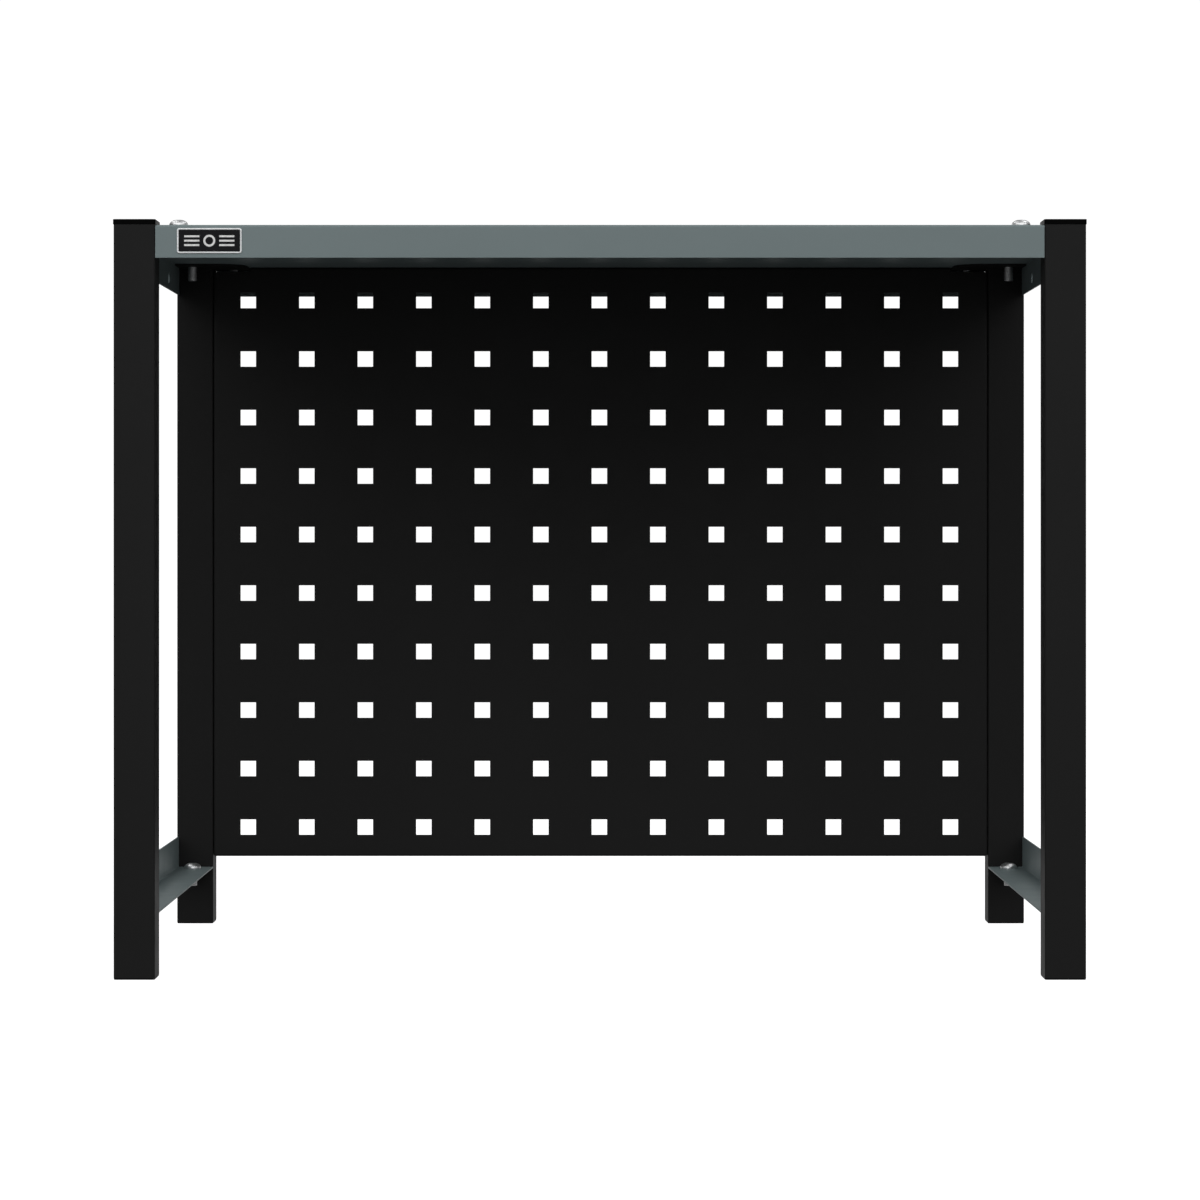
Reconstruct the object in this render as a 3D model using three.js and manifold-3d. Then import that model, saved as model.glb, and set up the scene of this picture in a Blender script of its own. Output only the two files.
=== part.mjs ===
// Single-module shelf frame: four square posts carry a folded tray shelf at the top, two angle rails tie
// the posts together low down at the sides, and a perforated panel closes the back.
// Millimetres, +Z up, +X to the right, -Y at the front. The origin is on the floor at the middle.
import * as THREE from "three";
import { mergeGeometries, mergeVertices } from "three/addons/utils/BufferGeometryUtils.js";
import Module from "manifold-3d";

const wasm = await Module();
wasm.setup();

// Posts, over their outer faces
const WIDTH = 550;
const DEPTH = 360;
const POST = 23.4;
const POST_WALL = 1.2;
const POST_CORNER = 1;
const POST_TOP = 427.3;
const FIT_GAP = 0.3; // between neighbouring pieces

// Moulded caps and foot plugs
const CAP_THICK = 2.9;
const CAP_OVERHANG = 0.35;
const CAP_CHAMFER = 0.5;
const CAP_CORNER = 1.4;
const FOOT_LIP = 0.8;
const FOOT_INSET = 0.1; // the lip lies this far inside the post's faces
const FOOT_CORNER = 1.1;
const SPIGOT_HALF = 10.3;
const SPIGOT_WALL = 1.6;
const SPIGOT_CORNER = 0.6;
const SPIGOT_LENGTH = 12;

// Folded sheet pieces
const SHEET = 1;
const BEND = 1.5; // outer radius of a fold
const LAP = 2; // a fold's flat leg runs this far into the sheet it belongs to
const TRAY_TOP = 427;
const TRAY_RECESS = 0.5; // the tray's sides lie this far inside the posts' outer faces
const CLEAR_X = 200; // half the deck's length that is free of screws
const TRAY_END_FLANGE = 18.7;
const TRAY_SIDE_FLANGE = 19;
const SIDE_HOLE_RADIUS = 3.25;
const SIDE_HOLE_Y = 95;
const SIDE_HOLE_Z = 415;

// Plates welded to the posts: the gussets carry the tray, the tabs carry the lower rails
const GUSSET_THICK = 1.2;
const GUSSET_REACH_X = 23.4; // from the post's inner face towards the middle
const GUSSET_REACH_Y = 33.5;
const GUSSET_CORNER = 20;
const TAB_THICK = 2;
const TAB_LENGTH = 28;
const TAB_WIDTH = 16;
const TAB_CORNER = 4;

// Lower side rails
const RAIL_TOP = 36.9; // upper surface of the flat flange
const RAIL_HEIGHT = 20.4;
const RAIL_OUTSET = 0.2; // the rail's upright flange lies this far inside the posts' outer faces

// Back panel
const PANEL_BOTTOM = 43.6;
const PANEL_RETURN = 15;
const RETURN_GAP = 1.2; // between the returns where they meet at a lower corner
const NOTCH_TOP = 423;
const NOTCH_GAP = 0.8; // between the notch's side and the gusset
const PEG_PITCH = 38;
const PEG_SIDE = 10;
const PEG_COLUMNS = 13;
const PEG_ROWS = 10;
const PEG_MIDDLE_X = -0.8;
const PEG_LOWEST_Z = 62.5;
const PANEL_SCREW_INSET = 3; // from the post's middle towards the front
const PANEL_SCREW_HEIGHTS = { lower: 100, upper: 370 };

// M6 dome-head screws and what they go through, as radii and lengths
const SHANK = 3;
const SHANK_LENGTH = 11;
const SHANK_CHAMFER = 0.6;
const HEAD = 5.5;
const HEAD_HEIGHT = 3.5;
const HEAD_EDGE = 0.8; // height of the head's upright rim, below the dome
const CROWN = 2.5; // the flat round the socket
const SOCKET = 2.3;
const SOCKET_DEPTH = 2;
const SCREW_HOLE = 3.2;
const SCREW_FROM_POST_Y = 15.5;
const SCREW_FROM_POST_X = 12.3;
const NUT_BODY = 4.5;
const NUT_BULGE = 5.8;
const NUT_BULGE_LENGTH = 2.6;
const NUT_TAPER = 0.8;
const NUT_LENGTH = 11.4;
const NUT_HOLE_GAP = 0.15;

// Plain plate on the front flange
const BADGE_WIDTH = 36.7;
const BADGE_HEIGHT = 14.3;
const BADGE_THICK = 0.8;
const BADGE_FIELD = 0.5;
const BADGE_RIM = 1;
const BADGE_CORNER = 1.4;
const BADGE_FIELD_CORNER = 0.6;
const BADGE_X = -220.8;
const BADGE_Z = 417.9;

const HALF = POST / 2;
const POST_X = WIDTH / 2 - HALF;
const POST_Y = DEPTH / 2 - HALF;
const INNER_X = WIDTH / 2 - POST; // inner faces of the posts
const INNER_Y = DEPTH / 2 - POST;
const TRAY_X = WIDTH / 2 - TRAY_RECESS; // outer faces of the tray's flanges
const TRAY_Y = DEPTH / 2 - TRAY_RECESS;
const TRAY_UNDER = TRAY_TOP - SHEET;
const HOLE_SIDES = 16;
const TURNED_SIDES = 14;
const PAST = 1; // cutters reach this far past what they cut

const material = (color, roughness, metalness) =>
  new THREE.MeshStandardMaterial({ color, roughness, metalness });
const BLACK_PAINT = material(0x1c1c1c, 0.45, 0.1);
const GREY_PAINT = material(0x687273, 0.45, 0.1);
const ZINC = material(0xc4c8cb, 0.28, 1);
const BLACK_PLASTIC = material(0x0b0b0b, 0.6, 0);
const SILVER_PLASTIC = material(0xd0d2d4, 0.35, 0);

// ---- Solid helpers -------------------------------------------------------------------------------

// A closed geometry as a manifold-3d solid, without the triangles that merging its corners empties.
function solidOf(geometry) {
  const bare = geometry.index ? geometry.toNonIndexed() : geometry.clone();
  bare.deleteAttribute("normal");
  bare.deleteAttribute("uv");
  const merged = mergeVertices(bare, 1e-4);
  const kept = [];
  const index = merged.index.array;
  for (let i = 0; i < index.length; i += 3) {
    const [a, b, c] = index.slice(i, i + 3);
    if (a !== b && b !== c && c !== a) kept.push(a, b, c);
  }
  return new wasm.Manifold(
    new wasm.Mesh({
      numProp: 3,
      vertProperties: merged.attributes.position.array,
      triVerts: new Uint32Array(kept),
    }),
  );
}

function geometryOf(solid) {
  const mesh = solid.getMesh();
  const geometry = new THREE.BufferGeometry();
  geometry.setAttribute("position", new THREE.BufferAttribute(mesh.vertProperties, 3));
  geometry.setIndex(new THREE.BufferAttribute(mesh.triVerts, 1));
  geometry.computeVertexNormals();
  return geometry;
}

function joined(geometries) {
  return geometries.map(solidOf).reduce((all, next) => all.add(next));
}

function cut(solid, geometries) {
  return geometries.map(solidOf).reduce((rest, next) => rest.subtract(next), solid);
}

// A box between any two opposite corners, each [x, y, z].
function block(from, to) {
  const [sx, sy, sz] = to.map((value, i) => Math.abs(value - from[i]));
  const [cx, cy, cz] = to.map((value, i) => (value + from[i]) / 2);
  return new THREE.BoxGeometry(sx, sy, sz).translate(cx, cy, cz);
}

// A flat plate with a given outline, from z upwards by its thickness.
function plate(shape, z, thick, curveSegments = 2) {
  const options = { depth: thick, bevelEnabled: false, curveSegments };
  return new THREE.ExtrudeGeometry(shape, options).translate(0, 0, z);
}

// A rectangle about (cx, cy) whose corners are arcs.
function roundedRectangle(halfX, halfY, radius, cx = 0, cy = 0) {
  const outline = new THREE.Shape();
  outline.moveTo(cx + halfX - radius, cy - halfY);
  outline.absarc(cx + halfX - radius, cy - halfY + radius, radius, -Math.PI / 2, 0);
  outline.absarc(cx + halfX - radius, cy + halfY - radius, radius, 0, Math.PI / 2);
  outline.absarc(cx - halfX + radius, cy + halfY - radius, radius, Math.PI / 2, Math.PI);
  outline.absarc(cx - halfX + radius, cy - halfY + radius, radius, Math.PI, 1.5 * Math.PI);
  outline.closePath();
  return outline;
}

function rectangularHole(x0, x1, y0, y1) {
  const hole = new THREE.Path();
  hole.moveTo(x0, y0);
  hole.lineTo(x0, y1);
  hole.lineTo(x1, y1);
  hole.lineTo(x1, y0);
  hole.closePath();
  return hole;
}

// A solid of revolution about Z from [radius, height] pairs that run upwards along the outside.
function turned(profile, segments) {
  const points = profile.map(([radius, height]) => new THREE.Vector2(radius, height));
  return new THREE.LatheGeometry(points, segments).rotateX(Math.PI / 2);
}

// A cutter for a round hole through a level sheet between z0 and z1.
function holeDown(radius, z0, z1, x, y) {
  return new THREE.CylinderGeometry(radius, radius, z1 - z0 + 2 * PAST, HOLE_SIDES)
    .rotateX(Math.PI / 2)
    .translate(x, y, (z0 + z1) / 2);
}

// A cutter for a round hole through an upright sheet that faces along X and has its outer face at x.
function holeAcross(radius, wall, x, y, z) {
  return new THREE.CylinderGeometry(radius, radius, 2 * (wall + PAST), HOLE_SIDES)
    .rotateZ(Math.PI / 2)
    .translate(x, y, z);
}

// A straight folded edge, as long as its length, centred on Y. The fold's outer corner is at x = 0 and
// z = 0: the flat leg runs along -X and the other leg runs down.
function foldedEdge(length, flatLeg, downLeg) {
  const inner = BEND - SHEET;
  const section = new THREE.Shape();
  section.moveTo(-flatLeg, -SHEET);
  section.lineTo(-BEND, -SHEET);
  section.absarc(-BEND, -BEND, inner, Math.PI / 2, 0, true);
  section.lineTo(-SHEET, -downLeg);
  section.lineTo(0, -downLeg);
  section.absarc(-BEND, -BEND, BEND, 0, Math.PI / 2);
  section.lineTo(-flatLeg, 0);
  section.closePath();
  const options = { depth: length, bevelEnabled: false, curveSegments: 3 };
  return new THREE.ExtrudeGeometry(section, options)
    .translate(0, 0, -length / 2)
    .rotateX(Math.PI / 2);
}

// ---- Pieces at a corner --------------------------------------------------------------------------
// They are drawn for the rear right corner, about the post's own axis. The other corners mirror it.

function postGeometry(isRear) {
  const section = roundedRectangle(HALF, HALF, POST_CORNER);
  const bore = HALF - POST_WALL;
  section.holes.push(rectangularHole(-bore, bore, -bore, bore));
  const tube = plate(section, FOOT_LIP, POST_TOP - FOOT_LIP);
  if (!isRear) return tube;
  const radius = NUT_BODY + NUT_HOLE_GAP;
  const holes = Object.values(PANEL_SCREW_HEIGHTS).map((height) =>
    holeAcross(radius, POST_WALL, -HALF, -PANEL_SCREW_INSET, height),
  );
  return geometryOf(cut(solidOf(tube), holes));
}

// The hollow square stub that grips the inside of a post, from z0 up to z1.
function spigot(z0, z1) {
  const section = roundedRectangle(SPIGOT_HALF, SPIGOT_HALF, SPIGOT_CORNER);
  const bore = SPIGOT_HALF - SPIGOT_WALL;
  section.holes.push(rectangularHole(-bore, bore, -bore, bore));
  return plate(section, z0, z1 - z0);
}

function capGeometry() {
  const half = HALF + CAP_OVERHANG;
  const small = half - CAP_CHAMFER;
  const top = POST_TOP + CAP_THICK;
  const skirt = plate(roundedRectangle(half, half, CAP_CORNER), POST_TOP, CAP_THICK - CAP_CHAMFER);
  const crown = plate(roundedRectangle(small, small, POST_CORNER), POST_TOP, CAP_THICK);
  const stub = spigot(POST_TOP - SPIGOT_LENGTH, top - CAP_CHAMFER);
  return geometryOf(joined([skirt, crown, stub]));
}

function footPlugGeometry() {
  const half = HALF - FOOT_INSET;
  const lip = plate(roundedRectangle(half, half, FOOT_CORNER), 0, FOOT_LIP);
  return geometryOf(joined([lip, spigot(FOOT_LIP / 2, FOOT_LIP + SPIGOT_LENGTH)]));
}

// Where the screws stand, from the post's axis.
const SIDE_SCREW = [0, -HALF - SCREW_FROM_POST_Y];
const END_SCREW = [-HALF - SCREW_FROM_POST_X, 0];

function gussetGeometry() {
  const outer = TRAY_X - BEND - FIT_GAP - POST_X; // clear of the inside of the tray fold
  const left = -HALF - GUSSET_REACH_X;
  const front = -HALF - GUSSET_REACH_Y;
  const outline = new THREE.Shape();
  outline.moveTo(outer, front);
  outline.lineTo(outer, -HALF);
  outline.lineTo(-HALF, -HALF);
  outline.lineTo(-HALF, outer);
  outline.lineTo(left, outer);
  outline.lineTo(left, front + GUSSET_CORNER);
  const [cx, cy] = [left + GUSSET_CORNER, front + GUSSET_CORNER];
  outline.absarc(cx, cy, GUSSET_CORNER, Math.PI, 1.5 * Math.PI);
  outline.closePath();
  const z = TRAY_UNDER - GUSSET_THICK;
  const sheet = solidOf(plate(outline, z, GUSSET_THICK, 6));
  const holes = [SIDE_SCREW, END_SCREW].map(([x, y]) =>
    holeDown(SCREW_HOLE, z, z + GUSSET_THICK, x, y),
  );
  return geometryOf(cut(sheet, holes));
}

function tabGeometry() {
  const middleY = -HALF - TAB_LENGTH / 2;
  const halfX = TAB_WIDTH / 2;
  const top = RAIL_TOP - SHEET;
  const z = top - TAB_THICK;
  const sheet = joined([
    plate(roundedRectangle(halfX, TAB_LENGTH / 2, TAB_CORNER, 0, middleY), z, TAB_THICK),
    block([-halfX, middleY, z], [halfX, -HALF, top]),
  ]);
  return geometryOf(cut(sheet, [holeDown(SCREW_HOLE, z, top, ...SIDE_SCREW)]));
}

// A dome-head screw that stands on z = 0 with its shank pointing down. The dome is part of an ellipse.
function screwGeometry() {
  const steepest = Math.acos(CROWN / HEAD);
  const rise = (HEAD_HEIGHT - HEAD_EDGE) / Math.sin(steepest);
  const dome = [0, 1, 2, 3].map((step) => {
    const angle = (step / 3) * steepest;
    return [HEAD * Math.cos(angle), HEAD_EDGE + rise * Math.sin(angle)];
  });
  const profile = [
    [0, -SHANK_LENGTH],
    [SHANK - SHANK_CHAMFER, -SHANK_LENGTH],
    [SHANK, -SHANK_LENGTH + SHANK_CHAMFER],
    [SHANK, 0],
    [HEAD, 0],
    ...dome,
    [0, HEAD_HEIGHT],
  ];
  const body = solidOf(turned(profile, TURNED_SIDES));
  const depth = SOCKET_DEPTH + PAST;
  const socket = new THREE.CylinderGeometry(SOCKET, SOCKET, depth, 6)
    .rotateX(Math.PI / 2)
    .translate(0, 0, HEAD_HEIGHT - SOCKET_DEPTH + depth / 2);
  return geometryOf(cut(body, [socket]));
}

// A threaded insert that lies along +X from the post's inner face, with its bulge behind the wall.
function rivetNutGeometry() {
  const bulgeEnd = POST_WALL + NUT_BULGE_LENGTH;
  const profile = [
    [SCREW_HOLE, 0],
    [NUT_BODY, 0],
    [NUT_BODY, POST_WALL],
    [NUT_BULGE, POST_WALL],
    [NUT_BULGE, bulgeEnd],
    [NUT_BODY, bulgeEnd + NUT_TAPER],
    [NUT_BODY, NUT_LENGTH],
    [SCREW_HOLE, NUT_LENGTH],
    [SCREW_HOLE, 0],
  ];
  return turned(profile, TURNED_SIDES).rotateY(Math.PI / 2);
}

// ---- Pieces that span the frame ------------------------------------------------------------------

function trayGeometry() {
  const notchX = INNER_X - FIT_GAP;
  const notchY = INNER_Y - FIT_GAP;
  const deckX = TRAY_X - BEND - LAP / 2;
  const deckY = TRAY_Y - BEND - LAP / 2;
  // The deck is a clear middle field that goods stand on, and beside it the fields with the screws.
  const sheets = [block([-CLEAR_X, -deckY, TRAY_UNDER], [CLEAR_X, deckY, TRAY_TOP])];
  const holes = [];
  for (const sx of [-1, 1]) {
    sheets.push(
      block([sx * CLEAR_X, -deckY, TRAY_UNDER], [sx * notchX, deckY, TRAY_TOP]),
      block([sx * notchX, -notchY, TRAY_UNDER], [sx * deckX, notchY, TRAY_TOP]),
      foldedEdge(2 * notchY, BEND + LAP, TRAY_SIDE_FLANGE)
        .translate(TRAY_X, 0, TRAY_TOP)
        .rotateZ(sx > 0 ? 0 : Math.PI),
      foldedEdge(2 * notchX, BEND + LAP, TRAY_END_FLANGE)
        .translate(TRAY_Y, 0, TRAY_TOP)
        .rotateZ((sx * Math.PI) / 2),
    );
    for (const sy of [-1, 1]) {
      for (const [fromX, fromY] of [SIDE_SCREW, END_SCREW]) {
        const [x, y] = [sx * (POST_X + fromX), sy * (POST_Y + fromY)];
        holes.push(holeDown(SCREW_HOLE, TRAY_UNDER, TRAY_TOP, x, y));
      }
      holes.push(holeAcross(SIDE_HOLE_RADIUS, SHEET, sx * TRAY_X, sy * SIDE_HOLE_Y, SIDE_HOLE_Z));
    }
  }
  return geometryOf(cut(joined(sheets), holes));
}

// The right-hand rail: its flat flange points inwards and its other flange stands up outside.
function railGeometry() {
  const length = 2 * (INNER_Y - FIT_GAP);
  const outerX = WIDTH / 2 - RAIL_OUTSET;
  const angle = foldedEdge(length, outerX - INNER_X, RAIL_HEIGHT)
    .rotateX(Math.PI)
    .translate(outerX, 0, RAIL_TOP - SHEET);
  const holeY = POST_Y + SIDE_SCREW[1];
  const holes = [-holeY, holeY].map((y) =>
    holeDown(SCREW_HOLE, RAIL_TOP - SHEET, RAIL_TOP, POST_X, y),
  );
  return geometryOf(cut(solidOf(angle), holes));
}

function panelGeometry() {
  const sideX = INNER_X - FIT_GAP;
  const topZ = TRAY_UNDER - FIT_GAP;
  const notchX = INNER_X - GUSSET_REACH_X - NOTCH_GAP;
  const face = INNER_Y + FIT_GAP;
  // The face's outline is drawn in X and Z, then stood up so that its front is at y = face.
  const edge = BEND + LAP / 2;
  const outline = new THREE.Shape();
  outline.moveTo(-sideX + edge, PANEL_BOTTOM + edge);
  outline.lineTo(sideX - edge, PANEL_BOTTOM + edge);
  outline.lineTo(sideX - edge, NOTCH_TOP);
  outline.lineTo(notchX, NOTCH_TOP);
  outline.lineTo(notchX, topZ - edge);
  outline.lineTo(-notchX, topZ - edge);
  outline.lineTo(-notchX, NOTCH_TOP);
  outline.lineTo(-sideX + edge, NOTCH_TOP);
  outline.closePath();
  const sheet = plate(outline, 0, SHEET)
    .rotateX(Math.PI / 2)
    .translate(0, face + SHEET, 0);
  // A folded edge whose flat leg lies in the face and whose other leg runs to the back.
  const flatLeg = BEND + LAP;
  const sideLow = PANEL_BOTTOM + RETURN_GAP;
  const sideLength = NOTCH_TOP - sideLow;
  const right = foldedEdge(sideLength, flatLeg, PANEL_RETURN)
    .rotateX(Math.PI / 2)
    .translate(sideX, face, sideLow + sideLength / 2);
  const top = foldedEdge(2 * notchX, flatLeg, PANEL_RETURN)
    .rotateX(Math.PI / 2)
    .rotateY(-Math.PI / 2)
    .translate(0, face, topZ);
  const bottom = foldedEdge(2 * (sideX - RETURN_GAP), flatLeg, PANEL_RETURN)
    .rotateX(Math.PI / 2)
    .rotateY(Math.PI / 2)
    .translate(0, face, PANEL_BOTTOM);
  const left = solidOf(right).mirror([1, 0, 0]);
  const folded = joined([sheet, right, top, bottom]).add(left);
  const screwY = POST_Y - PANEL_SCREW_INSET;
  const holes = Object.values(PANEL_SCREW_HEIGHTS).flatMap((height) =>
    [-sideX, sideX].map((x) => holeAcross(SCREW_HOLE, SHEET, x, screwY, height)),
  );
  return geometryOf(cut(folded, [...holes, pegHoles(face)]));
}

// The square bars that the peg holes are cut with, all in one geometry.
function pegHoles(face) {
  const half = PEG_SIDE / 2;
  const bars = [];
  for (let column = 0; column < PEG_COLUMNS; column++) {
    for (let row = 0; row < PEG_ROWS; row++) {
      const x = PEG_MIDDLE_X + PEG_PITCH * (column - (PEG_COLUMNS - 1) / 2);
      const z = PEG_LOWEST_Z + PEG_PITCH * row;
      const [front, back] = [face - PAST, face + SHEET + PAST];
      bars.push(block([x - half, front, z - half], [x + half, back, z + half]));
    }
  }
  return mergeGeometries(bars);
}

function badgeGeometry() {
  const [halfX, halfZ] = [BADGE_WIDTH / 2, BADGE_HEIGHT / 2];
  const [fieldX, fieldZ] = [halfX - BADGE_RIM, halfZ - BADGE_RIM];
  const body = plate(roundedRectangle(halfX, halfZ, BADGE_CORNER), 0, BADGE_THICK);
  const recess = roundedRectangle(fieldX, fieldZ, BADGE_FIELD_CORNER);
  return geometryOf(cut(solidOf(body), [plate(recess, BADGE_FIELD, BADGE_THICK)]));
}

// ---- Assembly ------------------------------------------------------------------------------------

const frame = new THREE.Group();

function add(parent, name, geometry, finish) {
  const mesh = new THREE.Mesh(geometry, finish);
  mesh.name = name;
  parent.add(mesh);
  return mesh;
}

const screw = screwGeometry();
const cap = capGeometry();
const footPlug = footPlugGeometry();
const gusset = gussetGeometry();
const tab = tabGeometry();
const rivetNut = rivetNutGeometry();

for (const [side, sx] of [["left", -1], ["right", 1]]) {
  for (const [end, sy] of [["front", -1], ["rear", 1]]) {
    const corner = new THREE.Group();
    corner.position.set(sx * POST_X, sy * POST_Y, 0);
    corner.scale.set(sx, sy, 1);
    const where = `${end}_${side}`;
    add(corner, `post_${where}`, postGeometry(end === "rear"), BLACK_PAINT);
    add(corner, `post_cap_${where}`, cap, BLACK_PLASTIC);
    add(corner, `foot_plug_${where}`, footPlug, BLACK_PLASTIC);
    add(corner, `tray_gusset_${where}`, gusset, BLACK_PAINT);
    add(corner, `rail_tab_${where}`, tab, BLACK_PAINT);
    add(corner, `tray_side_screw_${where}`, screw, ZINC).position.set(...SIDE_SCREW, TRAY_TOP);
    add(corner, `tray_end_screw_${where}`, screw, ZINC).position.set(...END_SCREW, TRAY_TOP);
    add(corner, `rail_screw_${where}`, screw, ZINC).position.set(...SIDE_SCREW, RAIL_TOP);
    if (end === "rear") {
      for (const [level, height] of Object.entries(PANEL_SCREW_HEIGHTS)) {
        const panelScrew = add(corner, `panel_screw_${level}_${side}`, screw, ZINC);
        panelScrew.rotation.y = -Math.PI / 2;
        panelScrew.position.set(-HALF - FIT_GAP - SHEET, -PANEL_SCREW_INSET, height);
        const nut = add(corner, `rivet_nut_${level}_${side}`, rivetNut, ZINC);
        nut.position.set(-HALF, -PANEL_SCREW_INSET, height);
      }
    }
    frame.add(corner);
  }
  const half = new THREE.Group();
  half.scale.set(sx, 1, 1);
  add(half, `lower_rail_${side}`, railGeometry(), GREY_PAINT);
  frame.add(half);
}

add(frame, "shelf_tray", trayGeometry(), GREY_PAINT);
add(frame, "peg_panel", panelGeometry(), BLACK_PAINT);

const badge = add(frame, "badge_plate", badgeGeometry(), SILVER_PLASTIC);
badge.rotation.x = Math.PI / 2;
badge.position.set(BADGE_X, -TRAY_Y, BADGE_Z);

export default frame;
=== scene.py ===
import math

import bmesh
import bpy
from mathutils import Matrix, Vector


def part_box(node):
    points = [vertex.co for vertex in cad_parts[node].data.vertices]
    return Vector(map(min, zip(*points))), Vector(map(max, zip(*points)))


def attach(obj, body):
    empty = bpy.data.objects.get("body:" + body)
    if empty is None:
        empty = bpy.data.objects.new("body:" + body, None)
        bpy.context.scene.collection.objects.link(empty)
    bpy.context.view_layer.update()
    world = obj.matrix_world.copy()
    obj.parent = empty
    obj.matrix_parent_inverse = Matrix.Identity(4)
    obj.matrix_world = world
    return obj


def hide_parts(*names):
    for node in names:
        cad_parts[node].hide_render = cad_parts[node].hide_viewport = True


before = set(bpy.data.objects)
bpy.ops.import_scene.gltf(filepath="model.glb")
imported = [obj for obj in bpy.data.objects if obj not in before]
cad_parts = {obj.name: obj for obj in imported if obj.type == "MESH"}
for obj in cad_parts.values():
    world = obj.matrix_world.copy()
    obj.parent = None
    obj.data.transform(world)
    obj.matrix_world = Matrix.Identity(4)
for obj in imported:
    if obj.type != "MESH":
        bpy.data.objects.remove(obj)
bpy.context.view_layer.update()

# The looks of the shelf frame: powder-coated tube and sheet steel, zinc-plated screws, moulded caps.
# Lengths are metres in the frame's own axes: +X right, +Y from the open front to the panel, +Z up.

MM = 0.001
SIDES = (("left", -1), ("right", 1))
ENDS = (("front", -1), ("rear", 1))
CORNERS = [(f"{end}_{side}", sx, sy) for side, sx in SIDES for end, sy in ENDS]
LEVELS = ("lower", "upper")
BOTH = (-1, 1)
X_AXIS, Y_AXIS, Z_AXIS = Vector((1, 0, 0)), Vector((0, 1, 0)), Vector((0, 0, 1))

# Sheet and tube, which the CAD boxes don't tell
SHEET = 1.0 * MM
CUT_EDGE = 0.15 * MM  # how far paint rounds a cut edge
PUNCHED_EDGE = 0.07 * MM
BEND = 1.5 * MM  # outer radius of a fold
TUBE_WALL = 1.2 * MM
TUBE_CORNER = 1.0 * MM
BORE_CORNER = 0.5 * MM
SCREW_HOLE = 3.2 * MM  # radius
GUSSET_CORNER = 20.0 * MM
TAB_CORNER = 4.0 * MM

# The tray
TRAY_GAP = 0.15 * MM  # to the posts
END_FLANGE = 18.7 * MM  # height of its front and rear flanges
SIDE_HOLE = 3.25 * MM  # radius
SIDE_HOLE_Y = 95.0 * MM
SIDE_HOLE_Z = 415.0 * MM

# The panel's square holes, and the notches in its upper corners
PEG_PITCH = 38.0 * MM
PEG_SIDE = 10.0 * MM
PEG_COLUMNS = 13
PEG_ROWS = 10
PEG_MIDDLE_X = -0.8 * MM
PEG_LOWEST_Z = 62.5 * MM
NOTCH_BESIDE_GUSSET = 0.8 * MM
NOTCH_BELOW_GUSSET = 1.8 * MM

# Push-in caps and plugs: a lid with a hollow square stub that grips the tube
STUB = 10.3 * MM  # half its width
STUB_WALL = 1.6 * MM
STUB_CORNER = 0.6 * MM
LID_CORNER = 1.2 * MM
LID_EDGE = 0.3 * MM  # round edge on the outside
SEAT_EDGE = 0.1 * MM  # bevel where the lid meets the tube
CAP_CROWN = 0.04 * MM  # how far a cap's middle stands above its edge

# M6 dome-head screws, with z = 0 at the underside of the head
SHANK_LENGTH = 11.0 * MM
TIP = 0.6 * MM  # radius of a first ring on the flat end
TIP_CHAMFER = 0.5 * MM
THREAD_ROOT = 2.74 * MM
THREAD_CREST = 2.98 * MM
THREAD_PITCH = 1.0 * MM
FLANK_TOP = 1.35  # above 1, so that the crest is cut off flat
FLANK_SLOPE = 3.6
RUN_IN = 1.2 * MM  # length over which the thread rises at the tip
RUN_OUT = 0.8 * MM  # and over which it fades below the head
NECK = 0.3 * MM  # plain length under the head
NECK_FLARE = 0.1 * MM
HEAD_SIDE = 0.8 * MM  # height at which the dome begins
HEAD_CHAMFER = 0.25 * MM
CROWN = 2.5 * MM  # radius at which the dome ends
SOCKET = 2.0 * MM  # half across its flats
SOCKET_LEAD = 0.12 * MM
SOCKET_DEPTH = 2.2 * MM
SOCKET_POINT = 0.35 * MM  # depth of the point that the drill leaves
SOCKET_POINT_SHARE = 0.2  # the point's width at its end, as a share of the socket's
FIRST_TURN = 0.4  # radians, one step before the first screw's own angle
TURN_STEP = 2.1  # from each screw to the next

# A threaded insert as (radius, depth) in millimetres, from its mouth round the outside to its end
INSERT = [(3.2, 0), (4.2, 0), (4.5, 0.2), (4.5, 1.2), (5.6, 1.25), (5.8, 2.0), (5.6, 3.2),
          (4.6, 4.4), (4.5, 11.2), (4.3, 11.4), (3.2, 11.4)]

# The badge, and the mark on it
BADGE_CORNER = 1.4 * MM
BADGE_RIM = 1.0 * MM
BADGE_FIELD = 0.45 * MM  # from the plate's back to its field
BADGE_FIELD_CORNER = 0.45 * MM
MARK_PROUD = 0.12 * MM
MARK_WALL = 0.1 * MM
MARK_EDGE = 0.03 * MM
MARK_RING = (2.2 * MM, 3.4 * MM)  # inner and outer radius
MARK_BAR = (5.6 * MM, 14.2 * MM)  # where a bar begins and ends, from the middle
MARK_BAR_HALF = 0.55 * MM
MARK_BAR_PITCH = 2.5 * MM

# How many steps round shapes have
CORNER_STEPS = 6
BEND_STEPS = 8
HALF_HOLE_STEPS = 12
GUSSET_CORNER_STEPS = 14
TAB_CORNER_STEPS = 8
CAP_EDGE_STEPS = 5
PLUG_EDGE_STEPS = 4
SCREW_SIDES = 48
SCREW_RINGS_PER_TURN = 8
DOME_STEPS = 10
INSERT_SIDES = 40
RIM_STEPS = 8
MARK_SIDES = 48

NEAR = 1e-6  # points closer than this are one
SHARP_FROM = math.radians(35)
BEVEL_FROM = math.radians(40)

# The range of noise that a colour or a roughness is spread over
NOISE_LOW = 0.3
NOISE_HIGH = 0.7

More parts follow.
